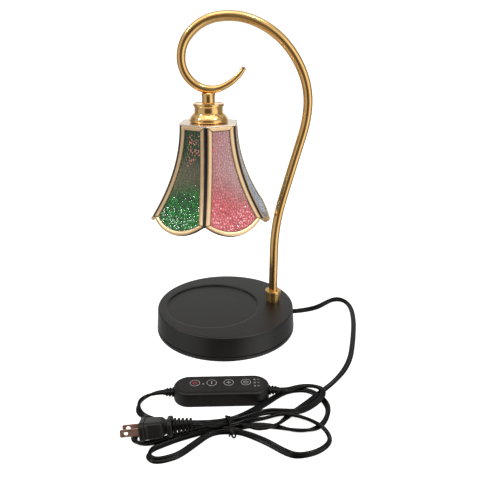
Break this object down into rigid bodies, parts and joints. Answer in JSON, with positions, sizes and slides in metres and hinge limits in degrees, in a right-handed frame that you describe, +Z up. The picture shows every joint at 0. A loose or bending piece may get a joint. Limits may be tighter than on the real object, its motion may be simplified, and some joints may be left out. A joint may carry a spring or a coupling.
{
  "type": "candle warmer lamp",
  "caption": "Candle warmer lamp: round black base, bent brass arm curled into a ring, hexagonal red and green glass shade, reflector bulb, inline push-button control, cord and plug.",
  "frame": {"origin": "centre of the round base's underside, where it rests on the table", "axes": "+Z up; +X from the base's centre towards the arm's collar and the cord's exit; the shade hangs on the -X side of the arm, in the arm's plane"},
  "size_m": [0.2896, 0.3247, 0.3628],
  "materials": {
    "black_plastic": "fine-grained black",
    "black_powder_coat": "warm black, satin-matte powder coat",
    "black_soft": "soft black PVC",
    "blade_metal": "bare brass, brown tint",
    "button_cap": "black cap with a printed ring",
    "cast_iron": "raw grey cast iron",
    "ceramic_white": "unglazed steatite",
    "champagne": "polished champagne brass",
    "cord_pvc": "semi-gloss black PVC, twin core",
    "face_film": "grained black face with grey rings",
    "glass_blue": "hammered blue glass",
    "glass_green": "hammered green glass",
    "glass_red": "hammered red glass",
    "gold_polished": "polished, lacquered gold",
    "gold_satin": "brushed, lacquered gold",
    "led_clear": "diffused epoxy",
    "lens_glass": "clear front lens",
    "pad_foam": "black EVA foam",
    "pcb_green": "solder mask",
    "pin_steel": "nickel plated",
    "reflector": "aluminised glass reflector",
    "seam_dark": "dark patina",
    "switch_body": "moulded",
    "zinc_steel": "zinc plated steel"
  },
  "bodies": {
    "lamp": {"arm_collar": "gold_satin", "arm_lead": "cord_pvc", "arm_tube": "gold_satin", "ballast": "cast_iron", "ballast_screws": "zinc_steel", "base_cover": "black_powder_coat", "base_lead": "cord_pvc", "base_pad": "pad_foam", "bottom_plate": "black_powder_coat", "clamp_screws": "zinc_steel", "control_face": "face_film", "control_lower": "black_plastic", "control_pcb": "pcb_green", "control_relief_left": "black_soft", "control_relief_right": "black_soft", "control_screws": "zinc_steel", "control_upper": "black_plastic", "cord_1": "cord_pvc", "cord_2": "cord_pvc", "cord_clamp": "black_plastic", "cord_gland": "black_soft", "cover_screws": "zinc_steel", "glass_panel_1": "glass_red", "glass_panel_2": "glass_blue", "glass_panel_3": "glass_green", "glass_panel_4": "glass_red", "glass_panel_5": "glass_blue", "glass_panel_6": "glass_green", "indicator_leds": "led_clear", "lamp_socket": "ceramic_white", "lock_nut": "zinc_steel", "lock_washer": "zinc_steel", "nipple": "zinc_steel", "nipple_nut": "zinc_steel", "panel_frame_1": "champagne", "panel_frame_2": "champagne", "panel_frame_3": "champagne", "panel_frame_4": "champagne", "panel_frame_5": "champagne", "panel_frame_6": "champagne", "plug_blades": "blade_metal", "plug_body": "black_plastic", "plug_relief": "black_soft", "seam_strips": "seam_dark", "shade_lock_ring": "gold_polished", "shade_top_plate": "champagne", "socket_bracket": "zinc_steel", "socket_cup": "gold_polished", "socket_screws": "zinc_steel", "stem": "gold_polished", "tact_switches": "switch_body", "terminal_block": "black_plastic", "twist_tie": "black_soft"},
    "bulb": {"bulb_body": "reflector", "bulb_lens": "lens_glass", "bulb_pins": "pin_steel"},
    "power_button": {"button_power": "button_cap"},
    "minus_button": {"button_minus": "button_cap"},
    "plus_button": {"button_plus": "button_cap"},
    "timer_button": {"button_timer": "button_cap"}
  },
  "joints": [
    {"name": "bulb_twist", "type": "hinge", "parent": "lamp", "child": "bulb", "pos_m": [-0.0162, 0, 0.25], "axis": [0, 0, 1], "range_deg": [0, 25]},
    {"name": "power_press", "type": "slide", "parent": "lamp", "child": "power_button", "axis": [0, 0, -1], "range_m": [0, 0.00035], "stiffness_N_per_m": 900, "springref_m": -0.001},
    {"name": "minus_press", "type": "slide", "parent": "lamp", "child": "minus_button", "axis": [0, 0, -1], "range_m": [0, 0.00035], "stiffness_N_per_m": 900, "springref_m": -0.001},
    {"name": "plus_press", "type": "slide", "parent": "lamp", "child": "plus_button", "axis": [0, 0, -1], "range_m": [0, 0.00035], "stiffness_N_per_m": 900, "springref_m": -0.001},
    {"name": "timer_press", "type": "slide", "parent": "lamp", "child": "timer_button", "axis": [0, 0, -1], "range_m": [0, 0.00035], "stiffness_N_per_m": 900, "springref_m": -0.001}
  ]
}
